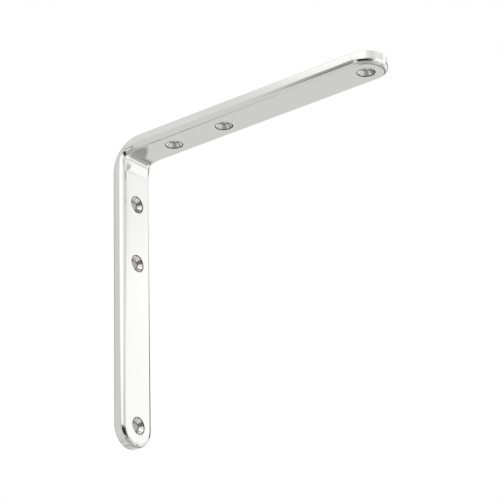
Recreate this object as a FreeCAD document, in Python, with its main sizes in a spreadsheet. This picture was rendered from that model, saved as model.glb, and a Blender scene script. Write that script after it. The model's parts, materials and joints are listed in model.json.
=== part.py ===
"""L-bracket of mirror-polished stainless steel: one flat bar, bent once to a right angle.

The bar has half-round ends, three countersunk screw holes in each leg, and the edges of its
inner face are rounded over and polished. Millimetres, +Z up. The wall leg hangs down -Z with
its back on the plane x = 0, and the shelf leg runs out along +X with its back facing up. The
origin is where the axis of the wall leg's upper screw hole meets the wall.
"""
import FreeCAD
import Part
import Sketcher

import math
import os

Vector = FreeCAD.Vector
rule = Sketcher.Constraint

DIMENSIONS = [
    # the flat bar and its two legs, measured from the outer corner of the bend
    ("wall_leg_length", 150.0),
    ("shelf_leg_length", 150.0),
    ("bar_width", 20.0),
    ("bar_thickness", 6.0),
    # the bend is wide outside and tight inside, because the bar stretches over the press tool
    ("outer_bend_radius", 15.0),
    ("inner_bend_radius", 5.0),
    # edges rounded in polishing
    ("inner_edge_radius", 2.5),
    ("back_edge_radius", 0.4),
    # screw holes, set out from the outer corner; the last in each leg shares its round end's centre
    ("wall_hole_upper", 30.0),
    ("wall_hole_middle", 60.0),
    ("shelf_hole_inner", 29.0),
    ("shelf_hole_middle", 59.0),
    ("screw_hole_diameter", 4.5),
    ("countersink_diameter", 8.4),
    ("countersink_angle", 90.0),
    # the bar is cut this much too long, and its ends are then ground back to a half circle
    ("grinding_allowance", 3.0),
]

# How far each screw hole lies from the outer corner, along its own leg.
WALL_HOLES = {
    "upper": "sizes.wall_hole_upper",
    "middle": "sizes.wall_hole_middle",
    "lower": "sizes.wall_leg_length - sizes.bar_width / 2",
}
SHELF_HOLES = {
    "inner": "sizes.shelf_hole_inner",
    "middle": "sizes.shelf_hole_middle",
    "outer": "sizes.shelf_leg_length - sizes.bar_width / 2",
}

# The ends and centre of a sketch edge, and the sketch's own origin and axes, as constraints name them.
START = 1
END = 2
CENTRE = 3
CORNER = (-1, START)
ACROSS_AXIS = -1
UP_AXIS = -2

# The way that the bar's inner face looks, halfway through its bend.
INWARD = Vector(1, 0, -1).normalize()


def make_sheet(doc):
    """Give every driving dimension a cell of its own, with its name as the alias."""
    sheet = doc.addObject("Spreadsheet::Sheet", "sizes")
    for row, (name, value) in enumerate(DIMENSIONS, start=1):
        sheet.set(f"A{row}", name)
        sheet.set(f"B{row}", str(value))
        sheet.setAlias(f"B{row}", name)
    doc.recompute()
    return sheet


def new_sketch(body, name, role):
    """An empty sketch on one of the body's own origin planes, such as XZ_Plane."""
    plane = next(item for item in body.Origin.OriginFeatures if item.Role == role)
    sketch = body.newObject("Sketcher::SketchObject", name)
    sketch.AttachmentSupport = [(plane, "")]
    sketch.MapMode = "FlatFace"
    return sketch


def line_between(start, end):
    return Part.LineSegment(Vector(*start, 0), Vector(*end, 0))


def arc_between(centre, radius, first_angle, last_angle):
    """An arc that runs anticlockwise from one angle to another, in degrees."""
    circle = Part.Circle(Vector(*centre, 0), Vector(0, 0, 1), radius)
    return Part.ArcOfCircle(circle, math.radians(first_angle), math.radians(last_angle))


def bind(sketch, constraint, name, formula):
    """Add a size to a sketch, name it and drive it from the sheet."""
    index = sketch.addConstraint(constraint)
    sketch.renameConstraint(index, name)
    sketch.setExpression(f"Constraints.{name}", formula)


def bind_gap(sketch, axis, first, second, name, formula):
    """Drive how far apart two points lie along the sketch's X or Y, whichever comes first."""
    def place(point):
        return getattr(sketch.getPoint(*point), axis.lower())

    low, high = sorted((first, second), key=place)
    gap = place(high) - place(low)
    bind(sketch, rule("Distance" + axis, *low, *high, gap), name, formula)


def draw_side_profile(body, sizes):
    """The bent bar from the side, its legs still too long, with the outer corner at the origin."""
    sketch = new_sketch(body, "side_profile", "XZ_Plane")
    drop = sizes.wall_leg_length + sizes.grinding_allowance
    reach = sizes.shelf_leg_length + sizes.grinding_allowance
    thick = sizes.bar_thickness
    outer = sizes.outer_bend_radius
    inner = sizes.inner_bend_radius
    inner_centre = thick + inner
    sketch.addGeometry([
        line_between((0, -drop), (0, -outer)),
        arc_between((outer, -outer), outer, 90, 180),
        line_between((outer, 0), (reach, 0)),
        line_between((reach, 0), (reach, -thick)),
        line_between((reach, -thick), (inner_centre, -thick)),
        arc_between((inner_centre, -inner_centre), inner, 90, 180),
        line_between((thick, -inner_centre), (thick, -drop)),
        line_between((thick, -drop), (0, -drop)),
    ], False)
    back, outer_bend, top, tip, under, inner_bend, face, foot = range(8)

    for first, second in ((top, tip), (tip, under), (face, foot), (foot, back)):
        sketch.addConstraint(rule("Coincident", first, END, second, START))
    # Both arcs run anticlockwise, so this outline meets the outer one at its end.
    sketch.addConstraint(rule("Tangent", back, END, outer_bend, END))
    sketch.addConstraint(rule("Tangent", outer_bend, START, top, START))
    sketch.addConstraint(rule("Tangent", under, END, inner_bend, START))
    sketch.addConstraint(rule("Tangent", inner_bend, END, face, START))
    for edge in (back, tip, face):
        sketch.addConstraint(rule("Vertical", edge))
    for edge in (top, under, foot):
        sketch.addConstraint(rule("Horizontal", edge))
    sketch.addConstraint(rule("PointOnObject", back, START, UP_AXIS))
    sketch.addConstraint(rule("PointOnObject", top, END, ACROSS_AXIS))

    bind_gap(sketch, "Y", (back, START), CORNER, "drop", "sizes.wall_leg_length + sizes.grinding_allowance")
    bind_gap(sketch, "X", CORNER, (top, END), "reach", "sizes.shelf_leg_length + sizes.grinding_allowance")
    bind_gap(sketch, "X", (foot, END), (foot, START), "wall_leg_thickness", "sizes.bar_thickness")
    bind_gap(sketch, "Y", (tip, END), (tip, START), "shelf_leg_thickness", "sizes.bar_thickness")
    bind(sketch, rule("Radius", outer_bend, outer), "outer_bend", "sizes.outer_bend_radius")
    bind(sketch, rule("Radius", inner_bend, inner), "inner_bend", "sizes.inner_bend_radius")
    return sketch


def bend_bar(body, profile):
    """The bent bar with square ends, as wide to one side of its centre line as to the other."""
    bar = body.newObject("PartDesign::Pad", "bent_bar")
    bar.Profile = profile
    bar.SideType = "Symmetric"
    bar.setExpression("Length", "sizes.bar_width")
    return bar


def draw_grinding(body, name, sizes, leg, length_name):
    """What the grinder takes off a leg's end, as a section through the middle of the bar.

    The section turns half a circle about its axis, which runs through the bar at the centre of
    the round end. On the wall leg, depth is the sketch's X and the leg runs down its Y; on the
    shelf leg the leg runs along X and depth goes down Y.
    """
    sketch = new_sketch(body, name, "XZ_Plane")
    length = getattr(sizes, length_name)
    overlap = sizes.grinding_allowance
    outside = length + sizes.bar_width / 2 + overlap

    def place(depth, along):
        return (depth, -along) if leg == "wall" else (along, -depth)

    corners = [
        place(-overlap, length),
        place(sizes.bar_thickness + overlap, length),
        place(sizes.bar_thickness + overlap, outside),
        place(-overlap, outside),
    ]
    sketch.addGeometry([line_between(a, b) for a, b in zip(corners, corners[1:] + corners[:1])], False)
    near, inner_side, far, outer_side = range(4)
    axis_ends = [place(depth, length - sizes.bar_width / 2) for depth in (0, sizes.bar_thickness)]
    axis = sketch.addGeometry(line_between(*axis_ends), True)

    for first, second in ((near, inner_side), (inner_side, far), (far, outer_side), (outer_side, near)):
        sketch.addConstraint(rule("Coincident", first, END, second, START))
    depthwise, lengthwise = ("Horizontal", "Vertical") if leg == "wall" else ("Vertical", "Horizontal")
    depth_axis, length_axis = ("X", "Y") if leg == "wall" else ("Y", "X")
    for edge in (near, far, axis):
        sketch.addConstraint(rule(depthwise, edge))
    for edge in (inner_side, outer_side):
        sketch.addConstraint(rule(lengthwise, edge))
    sketch.addConstraint(rule("PointOnObject", axis, START, UP_AXIS if leg == "wall" else ACROSS_AXIS))

    leg_length = f"sizes.{length_name}"
    bind_gap(sketch, length_axis, CORNER, (near, START), "leg_length", leg_length)
    bind_gap(sketch, length_axis, CORNER, (axis, START), "end_centre", leg_length + " - sizes.bar_width / 2")
    bind_gap(sketch, length_axis, (near, START), (far, END), "waste",
             "sizes.bar_width / 2 + sizes.grinding_allowance")
    bind_gap(sketch, depth_axis, (near, START), CORNER, "behind", "sizes.grinding_allowance")
    bind_gap(sketch, depth_axis, (near, START), (near, END), "through",
             "sizes.bar_thickness + 2 * sizes.grinding_allowance")
    bind_gap(sketch, depth_axis, (axis, START), (axis, END), "axis_length", "sizes.bar_thickness")
    return sketch


def grind_end(body, name, section):
    """Grind a leg's end to a half circle that runs tangent into its sides."""
    groove = body.newObject("PartDesign::Groove", name)
    groove.Profile = section
    groove.ReferenceAxis = (section, ["Axis0"])
    groove.Midplane = True
    groove.Angle = 180
    return groove


def faces_looking(shape, way):
    """The bar's flat and bent faces that look a given way, without its ends and its two sides."""
    found = []
    for face in shape.Faces:
        surface = face.Surface
        bent = isinstance(surface, Part.Cylinder) and abs(surface.Axis.y) > 0.99
        if not (bent or isinstance(surface, Part.Plane)):
            continue
        first_u, last_u, first_v, last_v = face.ParameterRange
        normal = face.normalAt((first_u + last_u) / 2, (first_v + last_v) / 2)
        if normal.dot(way) > 0.5:
            found.append(face)
    return found


def rim_names(shape, faces):
    """Names of the edges that run round a group of faces: each bounds only one of them."""
    names = []
    for number, edge in enumerate(shape.Edges, start=1):
        owners = [face for face in faces if any(edge.isSame(other) for other in face.Edges)]
        if len(owners) == 1:
            names.append(f"Edge{number}")
    return names


def round_rim(body, name, base, way, radius_name):
    """Round over the whole rim of the face that looks a given way, through the bend and round the ends."""
    fillet = body.newObject("PartDesign::Fillet", name)
    fillet.Base = (base, rim_names(base.Shape, faces_looking(base.Shape, way)))
    fillet.setExpression("Radius", f"sizes.{radius_name}")
    return fillet


def draw_screw_holes(body, name, role, depth_sign, holes):
    """The hole circles of one leg, on a sketch that lies in the leg's inner face."""
    sketch = new_sketch(body, name, role)
    sketch.setExpression("AttachmentOffset.Base.z", f"{depth_sign} * sizes.bar_thickness")
    on_wall_leg = role == "YZ_Plane"
    leg_axis = UP_AXIS if on_wall_leg else ACROSS_AXIS
    diameter = sketch.evalExpression("sizes.screw_hole_diameter")
    for hole, formula in holes.items():
        distance = sketch.evalExpression(formula)
        centre = Vector(0, -distance, 0) if on_wall_leg else Vector(distance, 0, 0)
        circle = sketch.addGeometry(Part.Circle(centre, Vector(0, 0, 1), diameter / 2), False)
        sketch.addConstraint(rule("PointOnObject", circle, CENTRE, leg_axis))
        bind_gap(sketch, "Y" if on_wall_leg else "X", CORNER, (circle, CENTRE), hole + "_place", formula)
        bind(sketch, rule("Diameter", circle, diameter), hole + "_diameter", "sizes.screw_hole_diameter")
    return sketch


def drill(body, name, sketch, into_back):
    """Drill and countersink one leg's holes from its inner face, right through to its back."""
    hole = body.newObject("PartDesign::Hole", name)
    hole.Profile = sketch
    hole.Reversed = into_back
    hole.ThreadType = "None"
    hole.DepthType = "ThroughAll"
    hole.setExpression("Diameter", "sizes.screw_hole_diameter")
    hole.HoleCutType = "Countersink"
    hole.HoleCutCustomValues = True
    hole.setExpression("HoleCutDiameter", "sizes.countersink_diameter")
    hole.setExpression("HoleCutCountersinkAngle", "sizes.countersink_angle * 1 deg")
    return hole


def make_bracket(doc, sizes):
    """Bend the bar, grind its ends round, polish its edges over and drill it."""
    body = doc.addObject("PartDesign::Body", "bracket")
    body.Label = "bracket"
    steps = [bend_bar(body, draw_side_profile(body, sizes))]
    doc.recompute()
    for leg in ("wall", "shelf"):
        section = draw_grinding(body, f"{leg}_end_section", sizes, leg, f"{leg}_leg_length")
        steps.append(grind_end(body, f"{leg}_round_end", section))
        doc.recompute()
    for name, way, radius in (("polished_inner_edge", INWARD, "inner_edge_radius"),
                              ("broken_back_edge", -INWARD, "back_edge_radius")):
        steps.append(round_rim(body, name, steps[-1], way, radius))
        doc.recompute()
    wall_circles = draw_screw_holes(body, "wall_hole_circles", "YZ_Plane", 1, WALL_HOLES)
    doc.recompute()
    steps.append(drill(body, "wall_screw_holes", wall_circles, False))
    doc.recompute()
    shelf_circles = draw_screw_holes(body, "shelf_hole_circles", "XY_Plane", -1, SHELF_HOLES)
    doc.recompute()
    steps.append(drill(body, "shelf_screw_holes", shelf_circles, True))
    # The sketches start at the outer corner, and the bracket's origin is its upper wall hole.
    body.setExpression("Placement.Base.z", WALL_HOLES["upper"])
    doc.recompute()
    return body, steps


def check_model(doc, body, steps):
    """Stop if any object failed, if a cut removed nothing, or if the bracket isn't one good solid."""
    for item in doc.Objects:
        if "Invalid" in item.State or "Error" in item.State:
            raise RuntimeError(f"{item.Label} failed: {item.State}")
    for before, after in zip(steps, steps[1:]):
        removed = before.Shape.Volume - after.Shape.Volume
        print(f"{after.Label} removed {removed:.1f} cubic mm")
        if removed <= 0:
            raise RuntimeError(f"{after.Label} cut nothing")
    shape = body.Shape
    if shape.isNull() or not shape.isValid() or len(shape.Solids) != 1:
        raise RuntimeError("the bracket isn't one valid solid")
    box = shape.optimalBoundingBox()
    print(f"bracket {box.XLength:.2f} x {box.YLength:.2f} x {box.ZLength:.2f} mm")
    print(f"volume {shape.Volume:.0f} cubic mm")


def main():
    doc = FreeCAD.newDocument("l_bracket")
    sizes = make_sheet(doc)
    body, steps = make_bracket(doc, sizes)
    check_model(doc, body, steps)
    os.makedirs("parts", exist_ok=True)
    body.Shape.exportStep(os.path.join("parts", body.Label + ".step"))


main()
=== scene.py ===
# %% [markdown]
# # A mirror-polished L-bracket
#
# The real bracket is one strip of stainless steel, 20 mm wide and 6 mm thick. Its ends were ground round,
# its screw holes drilled and countersunk, and the strip was pressed to a right angle and buffed until it
# shines like a mirror. The construction model comes in first, as a fixed frame that already has the right
# size and place. The lesson then makes a finer mesh of the same bar, because a mirror shows every flaw in
# its surface: on polished metal the eye doesn't see the metal, it sees the room bent by the metal.

import json
import math

import bmesh
import bpy
from mathutils import Matrix, Vector


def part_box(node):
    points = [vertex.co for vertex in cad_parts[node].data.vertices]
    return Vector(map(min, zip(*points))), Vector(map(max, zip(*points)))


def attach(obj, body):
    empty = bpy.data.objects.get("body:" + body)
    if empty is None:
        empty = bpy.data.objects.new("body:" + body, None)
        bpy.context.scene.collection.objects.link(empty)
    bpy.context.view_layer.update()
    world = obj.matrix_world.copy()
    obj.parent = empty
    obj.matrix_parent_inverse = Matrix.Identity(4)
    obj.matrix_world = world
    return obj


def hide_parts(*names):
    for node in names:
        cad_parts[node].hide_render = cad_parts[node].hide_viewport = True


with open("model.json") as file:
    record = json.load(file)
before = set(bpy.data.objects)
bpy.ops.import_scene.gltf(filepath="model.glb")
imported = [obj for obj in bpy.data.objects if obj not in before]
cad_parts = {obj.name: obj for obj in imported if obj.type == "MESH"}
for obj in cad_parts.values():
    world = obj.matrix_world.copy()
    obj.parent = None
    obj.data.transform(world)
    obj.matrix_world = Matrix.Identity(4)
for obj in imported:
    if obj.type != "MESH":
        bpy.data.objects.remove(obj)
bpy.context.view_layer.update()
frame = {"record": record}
MM = 0.001

# %% [markdown]
# ## The sizes that drive the mesh
#
# The leg lengths and the bar's width are read from the frame, and so are the screw holes, so the mesh
# follows the construction model when that changes. The frame doesn't say how the bar is rounded, so those
# few sizes are written here: the outer radius of the bend, the length of the curve inside it, and the radii
# that grinding and buffing left along the edges.

# %% Sizes of the bar
low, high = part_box("bracket")
WALL_LEG = high.z - low.z
SHELF_LEG = high.x - low.x
WIDTH = high.y - low.y
THICKNESS = 6.0 * MM
OUTER_BEND = 15.0 * MM
BEND_LENGTH = 22.0 * MM
CREASE_LENGTH = 6.0 * MM
CREASE_SHARE = 0.6
INNER_EDGE = 2.5 * MM
BACK_EDGE = 0.4 * MM
END_RADIUS = WIDTH / 2
CORNER = Vector((low.x, 0.0, high.z))
print("legs", round(WALL_LEG / MM, 1), "and", round(SHELF_LEG / MM, 1))
print("bar", round(WIDTH / MM, 1), "by", round(THICKNESS / MM, 1))

# %% [markdown]
# ## The curve inside the bend
#
# A bar that is pressed round a tool doesn't turn in one clean circle on its inside. Here it turns gently over
# 22 mm, and in the middle of that length it has a crease of 6 mm, which makes three fifths of the right
# angle. Both parts start and stop softly, so they are soft steps, one long and one short, added together. A
# quarter circle would be simpler, but where a circle meets a flat, a mirror shows a kink. No short formula
# gives the points of such a curve, so it is walked in small steps, each in the direction that the bar has
# turned to by then.

# %% How the bar turns along its bend
CURVE_STEPS = 1000


def soft_step(share):
    """Rises from 0 to 1 over a length, slowly at both ends."""
    share = min(max(share, 0.0), 1.0)
    return share - math.sin(math.tau * share) / math.tau


def turn_at(place):
    """How far the inner face has turned at a place: 0 on the wall leg, a right angle on the shelf leg."""
    from_middle = place - BEND_LENGTH / 2
    gentle = soft_step(place / BEND_LENGTH)
    sharp = soft_step(0.5 + from_middle / CREASE_LENGTH)
    return math.pi / 2 * (gentle * (1 - CREASE_SHARE) + sharp * CREASE_SHARE)


def inner_curve():
    """The points of the inner face's curve, seen from where it leaves the wall leg."""
    step = BEND_LENGTH / CURVE_STEPS
    points = [Vector((0, 0, 0))]
    for number in range(CURVE_STEPS):
        turn = turn_at((number + 0.5) * step)
        points.append(points[-1] + Vector((math.sin(turn), 0, math.cos(turn))) * step)
    return points


CURVE = inner_curve()
print("the curve goes", round(CURVE[-1].x / MM, 2), "mm out and", round(CURVE[-1].z / MM, 2), "mm up")

# %% [markdown]
# ## Unrolling the strip
#
# The bar is modelled the way it is made: flat first, bent last. Working flat keeps every step simple,
# because a rounded edge or a screw hole in a straight bar is only a bevel or a spin. The x axis runs along
# the strip, from the tip of the wall leg to the tip of the shelf leg, and x = 0 is where the inside of the
# bend begins. The strip keeps its length along the inside of the bend, so the bend takes up the length of
# the curve. Each leg's length and each screw hole's place are measured from the outer corner, and the
# setback, which is how far from that corner the curve begins, turns them into places on the strip.

# %% Lengths along the flat strip
SETBACK = THICKNESS + CURVE[-1].x
WALL_TIP = SETBACK - WALL_LEG
SHELF_TIP = BEND_LENGTH + SHELF_LEG - SETBACK


def along_strip(point):
    """Where a screw hole of the frame lies along the flat strip."""
    on_wall_leg = point[2] < CORNER.z - THICKNESS
    if on_wall_leg:
        return SETBACK - (CORNER.z - point[2])
    return BEND_LENGTH + point[0] - CORNER.x - SETBACK


bores = [mount for mount in frame["record"]["mounts"] if mount["kind"] == "bore"]
hole_places = [along_strip(bore["pos_m"]) for bore in bores]
HOLE_RADIUS = bores[0]["dims"]["r_mm"] * MM
COUNTERSINK_DEPTH = THICKNESS - bores[0]["dims"]["length_mm"] * MM
# At 90 degrees, a countersink is as much wider than its bore as it is deep.
COUNTERSINK_RADIUS = HOLE_RADIUS + COUNTERSINK_DEPTH
print("strip", round((SHELF_TIP - WALL_TIP) / MM, 2), "mm long")
print("holes at", [round(place / MM, 1) for place in hole_places])

# %% [markdown]
# ## The blank
#
# The outline is a long strip with two half-round ends. Each end is one vertex spun through half a turn.
# Filling the outline and extruding it gives the bar its thickness. A cube with a bevelled end would do as
# well, but the spin says exactly where the centre of the round end is, and the last screw hole shares it.

# %% Outline and thickness
ROUND_STEPS = 64
TOUCHING = 1e-6


def half_round_end(shape, centre, first_side):
    """Spins one vertex round an end of the strip, and returns the first and the last of the half circle."""
    first = bmesh.ops.create_vert(shape, co=(centre, first_side * END_RADIUS, 0.0))["vert"][0]
    spun = bmesh.ops.spin(
        shape, geom=[first], cent=(centre, 0, 0), axis=(0, 0, 1),
        angle=math.pi, steps=ROUND_STEPS, use_merge=False,
    )
    return first, spun["geom_last"][0]


bar = bmesh.new()
wall_first, wall_last = half_round_end(bar, WALL_TIP + END_RADIUS, 1)
shelf_first, shelf_last = half_round_end(bar, SHELF_TIP - END_RADIUS, -1)
bmesh.ops.contextual_create(bar, geom=[wall_last, shelf_first])
bmesh.ops.contextual_create(bar, geom=[shelf_last, wall_first])
bmesh.ops.edgeloop_fill(bar, edges=bar.edges[:])

extruded = bmesh.ops.extrude_face_region(bar, geom=bar.faces[:])
back_verts = [item for item in extruded["geom"] if isinstance(item, bmesh.types.BMVert)]
bmesh.ops.translate(bar, verts=back_verts, vec=(0, 0, -THICKNESS))
bmesh.ops.recalc_face_normals(bar, faces=bar.faces[:])
print("blank:", len(bar.faces), "faces")

# %% [markdown]
# ## Rounded edges
#
# The edge of the inner face is rounded to 2.5 mm all the way round. It is the line of light that runs along
# both legs, and it carries most of the look. The back edge is only broken, so that it doesn't cut. Both are
# bevels with a profile of 0.5, which is a circular arc, and enough segments for a mirror. The height
# picks the edges: the inner face lies at z = 0 and the back at minus the thickness.

# %% Bevel both rims
INNER_EDGE_STEPS = 20
BACK_EDGE_STEPS = 4


def edges_at(shape, height):
    """The edges that lie flat at one height."""
    return [edge for edge in shape.edges if all(abs(vert.co.z - height) < TOUCHING for vert in edge.verts)]


def round_rim(shape, height, radius, steps):
    """Rounds the rim of the strip at one height."""
    bmesh.ops.bevel(
        shape, geom=edges_at(shape, height), offset=radius, offset_type="OFFSET", segments=steps,
        profile=0.5, affect="EDGES", material=-1, clamp_overlap=False,
    )


round_rim(bar, 0.0, INNER_EDGE, INNER_EDGE_STEPS)
round_rim(bar, -THICKNESS, BACK_EDGE, BACK_EDGE_STEPS)
print("rounded:", len(bar.faces), "faces")

# %% [markdown]
# ## Cuts where the bar will bend
#
# A face can't bend, only the edges between faces can, so the strip gets a row of cuts across the place of
# the bend, about half a millimetre apart, because that is the tightest mirror on the part. The outer radius
# starts a little after the inner curve, so the same cuts serve both. A subdivision of the whole bar would
# bend as well, but it would cut up the legs too, which have to stay flat.

# %% Bisect across the bend
BEND_CUTS = 40

for step in range(BEND_CUTS + 1):
    station = BEND_LENGTH * step / BEND_CUTS
    everything = bar.verts[:] + bar.edges[:] + bar.faces[:]
    bmesh.ops.bisect_plane(bar, geom=everything, dist=TOUCHING, plane_co=(station, 0, 0), plane_no=(1, 0, 0))
print("cut for the bend:", len(bar.faces), "faces")

# %% [markdown]
# ## Countersunk screw holes
#
# Each hole is a turned shape, so it is a profile spun a full turn: a narrow flat ring, the cone for the
# screw's head, the straight bore and a narrow ring on the back. Its corners are softened before the spin
# with a vertex bevel, which costs a few vertices and gives the thin line of light that a deburred hole has.
# A Boolean would cut the same holes, but it leaves ragged faces round them, and a mirror shows those. The
# tools leave three finishes in a hole, and the narrow rings at the rim of the countersink and at the foot of
# its cone get a painted dark reflection, so each depth gets its own material slot.

# %% Spin the holes
HOLE_STEPS = 72
RING = 0.35 * MM
RIM = 0.32 * MM
HOLE_EDGE = 0.12 * MM
HOLE_EDGE_STEPS = 3
POLISHED_LIP = HOLE_EDGE / 8
NEARLY_LEVEL = 0.999
# The last slot is not a finish of the steel: it is a ring of painted dark reflection.
POLISHED, COUNTERSUNK, DRILLED, PAINTED_DARK_RING = range(4)


def hole_profile(shape, place):
    """Draws a screw hole's section from the inner face down to the back, and returns its sharp corners."""
    outline = [
        (COUNTERSINK_RADIUS + RING, 0.0),
        (COUNTERSINK_RADIUS, 0.0),
        (COUNTERSINK_RADIUS - RIM, -RIM),
        (HOLE_RADIUS, -COUNTERSINK_DEPTH),
        (HOLE_RADIUS, -THICKNESS),
        (HOLE_RADIUS + RING, -THICKNESS),
    ]
    corners = [(place + radius, 0, height) for radius, height in outline]
    verts = [bmesh.ops.create_vert(shape, co=corner)["vert"][0] for corner in corners]
    for upper, lower in zip(verts, verts[1:]):
        bmesh.ops.contextual_create(shape, geom=[upper, lower])
    mouth, bore_top, bore_bottom = verts[1], verts[3], verts[4]
    return [mouth, bore_top, bore_bottom]


def finish_or_painted_ring_at(depth):
    """Which material a hole has at this depth under the inner face: a finish of the steel, or the ring of
    painted dark reflection.
    """
    if depth < POLISHED_LIP or depth > THICKNESS - HOLE_EDGE:
        return POLISHED
    # The rounded rim of the countersink and the foot of its cone are painted dark, as the reflection they
    # would catch of a dark room.
    if depth < RIM:
        return PAINTED_DARK_RING
    if depth < COUNTERSINK_DEPTH - HOLE_EDGE:
        return COUNTERSUNK
    if depth < COUNTERSINK_DEPTH + HOLE_EDGE:
        return PAINTED_DARK_RING
    return DRILLED


def spin_hole(place):
    """One screw hole as a mesh of its own, in the flat strip's place."""
    hole = bmesh.new()
    corners = hole_profile(hole, place)
    bmesh.ops.bevel(
        hole, geom=corners, offset=HOLE_EDGE, offset_type="OFFSET", segments=HOLE_EDGE_STEPS,
        profile=0.5, affect="VERTICES", material=-1,
    )
    bmesh.ops.spin(
        hole, geom=hole.verts[:] + hole.edges[:], cent=(place, 0, 0), axis=(0, 0, 1),
        angle=math.tau, steps=HOLE_STEPS, use_merge=True,
    )
    for face in hole.faces:
        face.material_index = finish_or_painted_ring_at(-face.calc_center_median().z)
    return hole


def is_leg_flat(face):
    """Whether a face is one of the four long flats of the legs."""
    in_bend = 0 < face.calc_center_median().x < BEND_LENGTH
    level = abs(face.normal.z) > NEARLY_LEVEL
    return level and not in_bend and face.calc_area() > WIDTH * WIDTH


leg_flats = [face for face in bar.faces if is_leg_flat(face)]
bmesh.ops.delete(bar, geom=leg_flats, context="FACES_ONLY")

for place in hole_places:
    hole = spin_hole(place)
    as_mesh = bpy.data.meshes.new("screw_hole")
    hole.to_mesh(as_mesh)
    hole.free()
    bar.from_mesh(as_mesh)
    bpy.data.meshes.remove(as_mesh)
print("holes:", len(hole_places), "with", len(leg_flats), "flats opened for them")

# %% [markdown]
# ## Filling the flats round the holes
#
# Each leg has an open flat on the inside and one on the back. The fill takes the rim of the flat and the
# rings of its three holes, and makes triangles between them. The triangles may be long and thin, because
# they all lie in one plane, and a plane is a perfect mirror however it is cut.

# %% Fill the four flats


def open_loops(shape, height, on_wall_leg):
    """The open edges at one height on one leg."""
    return [
        edge for edge in edges_at(shape, height)
        if edge.is_boundary and all((vert.co.x < BEND_LENGTH / 2) == on_wall_leg for vert in edge.verts)
    ]


for height in (0.0, -THICKNESS):
    for on_wall_leg in (True, False):
        loops = open_loops(bar, height, on_wall_leg)
        bmesh.ops.triangle_fill(bar, use_beauty=True, use_dissolve=False, edges=loops, normal=(0, 0, 1))
bmesh.ops.remove_doubles(bar, verts=bar.verts[:], dist=TOUCHING)
bmesh.ops.recalc_face_normals(bar, faces=bar.faces[:])
open_edges = [edge for edge in bar.edges if not edge.is_manifold]
print("flat bar:", len(bar.faces), "faces,", len(open_edges), "open edges")
print("volume", round(bar.calc_volume() / MM**3), "cubic millimetres")

# %% [markdown]
# ## The bend
#
# Now the strip is bent, by moving each vertex. The inside follows the curve that was walked above. The
# outside follows an arc of 15 mm, and the bar is a little thinner there, because it stretches over the press
# tool. So a vertex on the inner face or in its rounded edge turns with the inner curve, and one near the
# back is drawn in by as much as the outer arc asks for. The tool also flattens the rounded edge, which gets
# half as wide again and a fifth deeper in the middle of the bend. A Simple Deform modifier would bend the
# bar too, but round one centre only, and at one thickness.

# %% Bend the strip
OUTER_CENTRE = Vector((OUTER_BEND, 0, -OUTER_BEND))
BACK_ZONE = (THICKNESS + INNER_EDGE) / 2
EDGE_SPREAD = 0.5
EDGE_SINK = 0.2


def on_inner_face(place):
    """Where a place along the strip lies on the inner face, seen from the outer corner."""
    share = min(max(place / BEND_LENGTH, 0.0), 1.0)
    point = Vector((THICKNESS, 0, -SETBACK)) + CURVE[round(share * CURVE_STEPS)]
    return point + Vector((max(place - BEND_LENGTH, 0.0), 0, min(place, 0.0)))


def direction_out(place):
    """The direction from the inner face to the back, at a place along the strip."""
    turn = turn_at(place)
    return Vector((-math.cos(turn), 0, math.sin(turn)))


def thinning(place):
    """How much thinner the bar is at this place than its full thickness."""
    if not 0 < place < BEND_LENGTH:
        return 0.0
    inner = on_inner_face(place)
    outward = direction_out(place)
    offset = inner - OUTER_CENTRE
    lean = offset.dot(outward)
    reach = -lean + math.sqrt(lean**2 - offset.length_squared + OUTER_BEND**2)
    outer = inner + outward * reach
    # The arc has run out here, so the thickness is measured to the flat back of the leg instead.
    below_the_arc = outer.z < -OUTER_BEND
    beyond_the_arc = outer.x > OUTER_BEND
    if below_the_arc:
        reach = -inner.x / outward.x
    if beyond_the_arc:
        reach = -inner.z / outward.z
    return THICKNESS - reach


def middle_of_bend(place):
    """1 in the middle of the bend, falling softly to 0 where the legs begin."""
    return math.sin(2 * turn_at(place)) ** 2


def bent(point):
    """Where a point of the flat strip goes when the strip is bent."""
    place = point.x
    depth = -point.z
    from_side = END_RADIUS - abs(point.y)
    if depth > BACK_ZONE:
        depth -= thinning(place)
    elif depth < INNER_EDGE + TOUCHING:
        from_side *= 1 + EDGE_SPREAD * middle_of_bend(place)
        depth *= 1 + EDGE_SINK * middle_of_bend(place)
    sideways = Vector((0, math.copysign(END_RADIUS - from_side, point.y), 0))
    return CORNER + on_inner_face(place) + sideways + direction_out(place) * depth


for vert in bar.verts:
    vert.co = bent(vert.co)
bar.normal_update()
bmesh.ops.recalc_face_normals(bar, faces=bar.faces[:])
print("bent bar: volume", round(bar.calc_volume(signed=True) / MM**3), "cubic millimetres")

# %% [markdown]
# ## The finished piece
#
# The faces are shaded smooth, and only the corners inside the holes stay sharp. Smooth shading alone would
# tilt the flats a little near their rounded edges, and in a mirror that shows as a warped reflection. The
# Weighted Normal modifier gives the large faces the say, so that flats are flat up to the line where the
# rounding starts.

# %% Mesh, normals and frame
SHARP_ANGLE = math.radians(30)
LARGE_FACES_LEAD = 100

mesh = bpy.data.meshes.new("bracket_polished")
bar.to_mesh(mesh)
bar.free()
mesh.shade_smooth()
mesh.set_sharp_from_angle(angle=SHARP_ANGLE)
bracket = bpy.data.objects.new("bracket_polished", mesh)
bpy.context.scene.collection.objects.link(bracket)

normals = bracket.modifiers.new("flat_mirrors", "WEIGHTED_NORMAL")
normals.mode = "FACE_AREA"
normals.weight = LARGE_FACES_LEAD
normals.keep_sharp = True

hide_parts("bracket")
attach(bracket, "root")
print("piece:", bracket.name, len(mesh.polygons), "faces")

# %% [markdown]
# ## Helpers for materials
#
# Colours are written as they look on a screen, in hex, and Blender computes with linear light, so one
# function turns one into the other, by the standard sRGB rule. A second small function adds a node with its
# settings and links, which keeps the recipes short enough to read. A socket is named by its name, with a
# low line for a space, or by its number after a low line where several have the same name.

# %% Colour and node helpers


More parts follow.
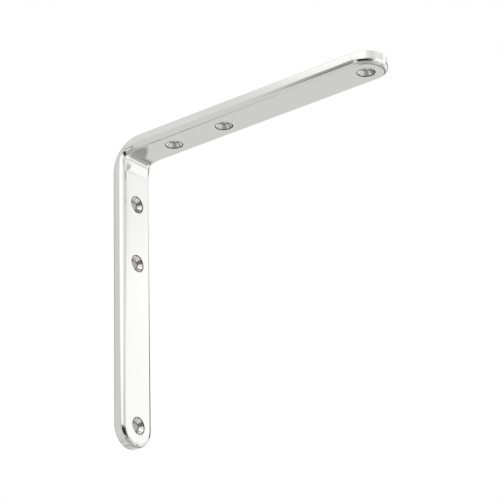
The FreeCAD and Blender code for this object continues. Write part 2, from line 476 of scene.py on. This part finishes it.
def linear(hex_colour):
    """A screen colour such as #C0C0C0 as linear red, green, blue and an alpha of 1."""
    channels = [int(hex_colour[start:start + 2], 16) / 255 for start in (1, 3, 5)]
    return tuple(c / 12.92 if c <= 0.04045 else ((c + 0.055) / 1.055) ** 2.4 for c in channels) + (1.0,)


def add_node(tree, kind, settings=None, **inputs):
    """Adds a node. Settings are its own options, and inputs are values or other nodes' outputs."""
    node = tree.nodes.new(kind)
    for name, value in (settings or {}).items():
        setattr(node, name, value)
    for name, value in inputs.items():
        socket = node.inputs[int(name[1:])] if name[1:].isdigit() else node.inputs[name.replace("_", " ")]
        if isinstance(value, bpy.types.NodeSocket):
            tree.links.new(value, socket)
        else:
            socket.default_value = value
    return node


def new_material(name):
    """An empty node material and its tree."""
    material = bpy.data.materials.new(name)
    material.use_nodes = True
    material.node_tree.nodes.clear()
    return material, material.node_tree


print("mid grey in linear light:", round(linear("#808080")[0], 3))

# %% [markdown]
# ## Mirror-buffed stainless steel
#
# The bar is 18/8 stainless steel, ground and then buffed on a cloth wheel. Buffed steel reflects about
# four fifths of the light, a little less at the blue end, so its white is slightly warm. Its roughness is
# near zero. What keeps it from looking like a computed mirror is that the wheel leaves the flats very
# slightly wavy, over several millimetres, so that long straight reflections waver. The waves are a few
# thousandths of a millimetre high, far too flat for the mesh, so a soft noise makes them as a bump.

# %% Polished steel
STEEL = linear("#E8E8E6")
BUFFED = 0.05
WAVE_LENGTH = 9.0 * MM
WAVE_HEIGHT = 0.004 * MM


def polished_steel():
    """Mirror-buffed stainless steel: clear reflections that waver a little."""
    material, tree = new_material("mirror_buffed_stainless")
    where = add_node(tree, "ShaderNodeTexCoord").outputs["Object"]
    wave = add_node(tree, "ShaderNodeTexNoise", Vector=where, Scale=1 / WAVE_LENGTH, Detail=1.0)
    bump = add_node(tree, "ShaderNodeBump", Strength=1.0, Distance=WAVE_HEIGHT, Height=wave.outputs["Fac"])
    shader = add_node(
        tree, "ShaderNodeBsdfPrincipled", Base_Color=STEEL, Metallic=1.0, Roughness=BUFFED,
        Normal=bump.outputs["Normal"],
    )
    add_node(tree, "ShaderNodeOutputMaterial", Surface=shader.outputs["BSDF"])
    return material


bracket.data.materials.append(polished_steel())
print("the steel reflects", [round(share, 2) for share in STEEL[:3]])

# %% [markdown]
# ## The countersinks
#
# A countersink is cut by a turning tool and the buffing wheel hardly reaches into it, so it reflects a
# little more softly than the bar. The bore is as the drill left it, duller still. Along the rim of the
# countersink, and where it meets the bore, a dark grey is painted in. It stands for the dark reflection
# that these narrow rounded edges would catch, and it outlines every hole. The finishes and this painted
# ring are added in the order of the numbers that the faces of the holes were given.

# %% Steel inside the holes
HOLE_FINISHES_AND_PAINTED_RIM = {
    "turned_stainless": ("#E6E5E3", 0.06),
    "drilled_stainless": ("#D8D7D4", 0.20),
    # This dark grey is a painted reflection of dark surroundings on the rounded rims of each hole.
    "painted_dark_reflection_in_the_rim": ("#5E5D5B", 0.35),
}


def hole_steel(name, colour, roughness):
    """A surface inside a hole that reflects more softly than the bar, or its ring of painted dark reflection.
    """
    material, tree = new_material(name)
    shader = add_node(tree, "ShaderNodeBsdfPrincipled", Base_Color=colour, Metallic=1.0, Roughness=roughness)
    add_node(tree, "ShaderNodeOutputMaterial", Surface=shader.outputs["BSDF"])
    return material


for name, (colour, roughness) in HOLE_FINISHES_AND_PAINTED_RIM.items():
    bracket.data.materials.append(hole_steel(name, linear(colour), roughness))
print("finishes:", [material.name for material in bracket.data.materials])

# %% [markdown]
# ## The camera
#
# The photograph was taken from below and from the side, with a long lens, so that both inner faces show.
# The camera is placed by four angles and sizes: which way it looks, how far it leans, how long its lens is
# and how far away the corner of the bracket is. It is then shifted sideways in its own plane until that
# corner falls on the right spot of the picture.

# %% Camera
PICTURE = 500
SENSOR = 36.0
AZIMUTH = math.radians(37.740)
ELEVATION = math.radians(-23.615)
ROLL = math.radians(-1.490)
FOCAL_PIXELS = 2526.07
DISTANCE = 1202.018 * MM
CORNER_PIXEL = (127.158, 151.072)
NEAREST_SEEN = 0.05
FARTHEST_SEEN = 50.0


def photo_camera():
    """The camera of the photograph."""
    data = bpy.data.cameras.new("photo_camera")
    data.sensor_width = SENSOR
    data.lens = FOCAL_PIXELS / PICTURE * SENSOR
    data.clip_start = NEAREST_SEEN
    data.clip_end = FARTHEST_SEEN
    back = Vector((
        math.sin(AZIMUTH) * math.cos(ELEVATION),
        -math.cos(AZIMUTH) * math.cos(ELEVATION),
        math.sin(ELEVATION),
    ))
    level = Vector((math.cos(AZIMUTH), math.sin(AZIMUTH), 0))
    upright = back.cross(level)
    right = level * math.cos(ROLL) + upright * math.sin(ROLL)
    up = upright * math.cos(ROLL) - level * math.sin(ROLL)
    aside = (CORNER_PIXEL[0] - PICTURE / 2) / FOCAL_PIXELS * DISTANCE
    above = (PICTURE / 2 - CORNER_PIXEL[1]) / FOCAL_PIXELS * DISTANCE
    camera = bpy.data.objects.new("photo_camera", data)
    bpy.context.scene.collection.objects.link(camera)
    turned = Matrix((right, up, back)).transposed().to_4x4()
    turned.translation = CORNER + back * DISTANCE - right * aside - up * above
    camera.matrix_world = turned
    return camera


camera = photo_camera()
bpy.context.scene.camera = camera
print("camera at", [round(value, 3) for value in camera.location])

# %% [markdown]
# ## The studio
#
# Polished metal is lit by what stands round it. A photographer of metalware hangs a white softbox above
# the front, grey boards at the sides, and stays in the dark behind the camera. Real lamps and boards could
# stand there, but to a mirror a painted surrounding is the same thing, and it gives no grain. So each board
# is a card that is painted on a far sphere, over the even light of a white tent.
#
# A card has nine numbers. Four say where it is, in degrees, as the bracket sees it: its left and right
# sides, then its bottom and top. Degrees sideways start at +X, away from the wall, and grow towards +Y, and
# degrees upwards start level. The fifth number is its light, where 1 is as bright as the white background.
# Two more are how soft its sides are and how soft its bottom and top are, again in degrees. The last two
# are its lean, which is how much its bottom and top rise for each degree sideways, and its slant, which is
# how much its sides move over for each degree upwards.

# %% The cards of the studio
TENT = 0.743
CARDS = {
    "floor of the studio": (-200.0, 199.6, -130.0, -59.2, 0.49, 5.0, 6.6, -0.05, 0.00),
    "dark wall behind": (136.6, 224.6, -28.0, 26.4, 0.08, 1.5, 2.7, 0.01, 0.09),
    "dark wall, lower part": (150.0, 203.0, -45.8, -20.0, 0.20, 3.0, 3.0, 0.00, 0.00),
    "dark wall, left corner": (136.0, 151.0, -37.2, -12.0, 0.20, 2.0, 2.5, -0.93, 0.00),
    "dark wall, right corner": (202.0, 220.5, -37.8, -12.0, 0.20, 1.5, 1.5, 0.77, 0.00),
    "grey wall behind, higher up": (127.0, 228.8, 29.9, 80.0, 0.61, 2.4, 3.4, -0.03, -0.10),
    "white wall on the right": (-5.2, 59.1, -24.4, 23.1, 1.18, 4.5, 1.4, 0.04, 0.03),
    "shade under the white wall": (52.0, 105.4, -47.7, -44.0, 0.40, 3.9, 3.5, -0.46, 0.13),
    "foot of the white wall": (50.0, 68.0, -43.0, -28.5, 0.46, 1.5, 2.0, -0.10, 0.00),
    "seam in the white wall": (45.6, 49.5, -24.0, -15.0, 0.72, 0.8, 1.5, 0.00, 0.00),
    "white wall, far end": (64.0, 92.9, -27.0, 17.5, 1.05, 4.0, 3.0, 0.00, 0.00),
    "softbox": (251.3, 310.7, 20.6, 79.6, 1.36, 12.0, 1.3, 0.01, -0.14),
    "softbox, left side": (224.2, 270.1, 21.1, 60.7, 1.23, 2.1, 1.6, 0.08, -0.64),
    "softbox, right side": (302.5, 326.0, 5.8, 78.9, 1.04, 7.9, 3.7, 0.12, -0.39),
    "board under the softbox": (321.0, 332.2, 0.9, 21.0, 0.52, 3.7, 1.1, 0.12, 0.24),
    "pale board on the right": (326.0, 407.0, 25.5, 79.4, 1.03, 8.0, 4.5, 0.05, 0.00),
    "shade on the pale board": (318.0, 358.0, 25.0, 79.4, 0.83, 20.0, 4.5, 0.00, 0.00),
    "light high on the right": (300.0, 336.0, 34.0, 58.0, 1.32, 4.0, 5.0, 0.00, 0.00),
    "shade on the floor": (250.0, 335.0, -67.0, -56.0, 0.34, 8.0, 2.5, 0.00, 0.00),
    "light on the floor": (22.0, 47.0, -46.0, -31.0, 0.92, 4.0, 3.0, 0.00, 0.00),
    "strip light in front": (274.9, 302.0, -8.3, 26.4, 1.29, 6.4, 1.7, -0.03, -0.29),
    "light over the white wall": (41.5, 73.7, 24.7, 88.2, 1.33, 0.5, 8.5, 0.13, -0.23),
    "corner of the softbox": (222.0, 236.3, 25.4, 30.0, 0.85, 0.7, 2.8, -0.73, -0.01),
    "black cloth": (269.7, 344.5, -51.8, 0.6, 0.19, 2.8, 5.4, -0.07, -0.10),
    "fold of the cloth": (260.0, 321.9, -44.0, -9.3, 0.03, 3.2, 2.9, 0.01, -0.02),
    "pale board on the left": (243.0, 254.0, -36.0, -8.0, 0.84, 3.0, 3.0, 0.00, 0.10),
    "flag": (237.5, 243.4, -6.8, 22.2, 0.37, 0.5, 6.3, -0.58, -0.12),
    "foot of the flag": (233.3, 234.7, -54.3, -6.6, 0.11, 1.1, 1.8, -0.19, 0.24),
    "edge of the flag": (235.4, 237.2, -27.0, -15.0, 0.03, 0.7, 2.5, 0.00, 0.10),
    "rail behind": (87.8, 137.6, -65.0, -34.1, 0.33, 1.8, 7.8, -0.53, -0.04),
    "thin rail": (143.4, 160.0, -51.1, -45.7, 0.46, 1.5, 3.0, -0.61, -0.70),
    "gap of light": (179.3, 198.2, -62.5, -51.3, 0.89, 2.1, 0.9, 0.02, 1.22),
    "post": (100.1, 111.0, -37.9, 6.0, 0.24, 0.6, 1.7, 0.08, 0.24),
    "white board behind": (81.1, 128.5, 7.9, 39.1, 0.93, 1.8, 2.9, -0.33, 0.10),
    "stand": (67.0, 122.0, 12.0, 22.5, 0.00, 4.0, 3.0, 0.00, 0.00),
    "grey strip on the white wall": (42.4, 43.8, -8.4, 7.9, 0.60, 3.3, 2.2, 0.00, 0.06),
}


def number_node(tree, operation, *values):
    """One step of arithmetic on numbers and on other nodes' outputs."""
    inputs = {f"_{place}": value for place, value in enumerate(values)}
    return add_node(tree, "ShaderNodeMath", {"operation": operation}, **inputs).outputs[0]


def soft_band(tree, distance, half, soft):
    """1 up to half a band's width away from its middle and 0 beyond, with a soft step between."""
    distance = number_node(tree, "ABSOLUTE", distance)
    return add_node(
        tree, "ShaderNodeMapRange", {"interpolation_type": "SMOOTHSTEP"}, _0=distance,
        _1=half - soft, _2=half + soft, _3=1.0, _4=0.0,
    ).outputs[0]


def hang_card(tree, turn, rise, behind, card):
    """Paints one card over what is behind it, and returns the light of both."""
    left, right, bottom, top = [math.radians(angle) for angle in card[:4]]
    light, side_blur, end_blur, lean, slant = card[4:]
    away = number_node(tree, "SUBTRACT", turn, (left + right) / 2)
    away = number_node(tree, "WRAP", away, math.pi, -math.pi)
    above = number_node(tree, "SUBTRACT", rise, (bottom + top) / 2)
    across = number_node(tree, "MULTIPLY_ADD", above, -slant, away)
    along = number_node(tree, "MULTIPLY_ADD", away, -lean, above)
    beside = soft_band(tree, across, (right - left) / 2, math.radians(side_blur))
    between = soft_band(tree, along, (top - bottom) / 2, math.radians(end_blur))
    cover = number_node(tree, "MULTIPLY", beside, between)
    return add_node(tree, "ShaderNodeMix", {"data_type": "FLOAT"}, _0=cover, _2=behind, _3=light).outputs[0]


lights = [card[4] for card in CARDS.values()]
print("cards:", len(CARDS), "from", min(lights), "to", max(lights), "on a tent of", TENT)

# %% [markdown]
# ## Two faces of one world
#
# To the camera, and to anything matt, the world is plain white with a strength of 1. To the polished metal it
# is the studio: the direction of a reflection is turned into degrees sideways and upwards, and the cards are
# painted over the tent in the order of the list, so a later card hides an earlier one.

# %% The world


def paint_world():
    """A world that is white to the camera and a studio to the metal."""
    world = bpy.data.worlds.new("studio")
    bpy.context.scene.world = world
    world.use_nodes = True
    tree = world.node_tree
    tree.nodes.clear()
    towards = add_node(tree, "ShaderNodeTexCoord").outputs["Generated"]
    split = add_node(tree, "ShaderNodeSeparateXYZ", Vector=towards)
    turn = number_node(tree, "ARCTAN2", split.outputs["Y"], split.outputs["X"])
    rise = number_node(tree, "ARCSINE", split.outputs["Z"])
    light = TENT
    for card in CARDS.values():
        light = hang_card(tree, turn, rise, light, card)
    rays = add_node(tree, "ShaderNodeLightPath").outputs["Is Glossy Ray"]
    seen = add_node(tree, "ShaderNodeMix", {"data_type": "FLOAT"}, _0=rays, _2=1.0, _3=light).outputs[0]
    background = add_node(tree, "ShaderNodeBackground", Color=linear("#FFFFFF"), Strength=seen)
    add_node(tree, "ShaderNodeOutputWorld", Surface=background.outputs[0])


paint_world()
print("world:", bpy.context.scene.world.name, "with", len(bpy.context.scene.world.node_tree.nodes), "nodes")

# %% [markdown]
# ## The floor
#
# The photograph looks up at the bracket, so its floor is out of sight, but it shows from other sides. It is a
# round sheet of matt paper, well under the camera. It is pale grey below the bracket and turns white towards
# its edge, so that it runs into the white background without a line. The metal doesn't see it, because the
# studio already has a floor of its own.

# %% A floor of matt paper
FLOOR_HEIGHT = -1.35
FLOOR_RADIUS = 4.0
FLOOR_STEPS = 96
PAPER = linear("#E3E3E1")
PAPER_EDGE = linear("#FFFFFF")


def matt_paper():
    """Matt paper, pale grey in the middle and white towards the edge."""
    material, tree = new_material("matt_paper")
    where = add_node(tree, "ShaderNodeTexCoord").outputs["Object"]
    level = add_node(tree, "ShaderNodeVectorMath", {"operation": "MULTIPLY"}, _0=where, _1=(1.0, 1.0, 0.0))
    distance = add_node(tree, "ShaderNodeVectorMath", {"operation": "LENGTH"}, _0=level.outputs["Vector"])
    fade = add_node(
        tree, "ShaderNodeMapRange", {"interpolation_type": "SMOOTHSTEP"}, _0=distance.outputs["Value"],
        _1=0.0, _2=FLOOR_RADIUS, _3=0.0, _4=1.0,
    )
    colour = add_node(
        tree, "ShaderNodeMix", {"data_type": "RGBA"}, _0=fade.outputs[0], _6=PAPER, _7=PAPER_EDGE
    )
    shader = add_node(tree, "ShaderNodeBsdfPrincipled", Base_Color=colour.outputs[2], Roughness=1.0)
    add_node(tree, "ShaderNodeOutputMaterial", Surface=shader.outputs["BSDF"])
    return material


def lay_floor():
    """The round sheet that the studio stands on."""
    disc = bmesh.new()
    bmesh.ops.create_circle(disc, cap_ends=True, segments=FLOOR_STEPS, radius=FLOOR_RADIUS)
    bmesh.ops.translate(disc, verts=disc.verts[:], vec=(0, 0, FLOOR_HEIGHT))
    sheet = bpy.data.meshes.new("paper_floor")
    disc.to_mesh(sheet)
    disc.free()
    sheet.materials.append(matt_paper())
    floor = bpy.data.objects.new("paper_floor", sheet)
    bpy.context.scene.collection.objects.link(floor)
    floor.visible_glossy = False
    return floor


floor = lay_floor()
print("floor:", FLOOR_HEIGHT, "m, radius", FLOOR_RADIUS)

# %% [markdown]
# ## The view
#
# A catalogue photograph is bright and even, with a background of pure white. The Standard view shows each
# light as it is, up to white. A film-like view would hold the highlights back and turn the white grey.

# %% View transform
view = bpy.context.scene.view_settings
view.view_transform = "Standard"
print("view transform:", view.view_transform)
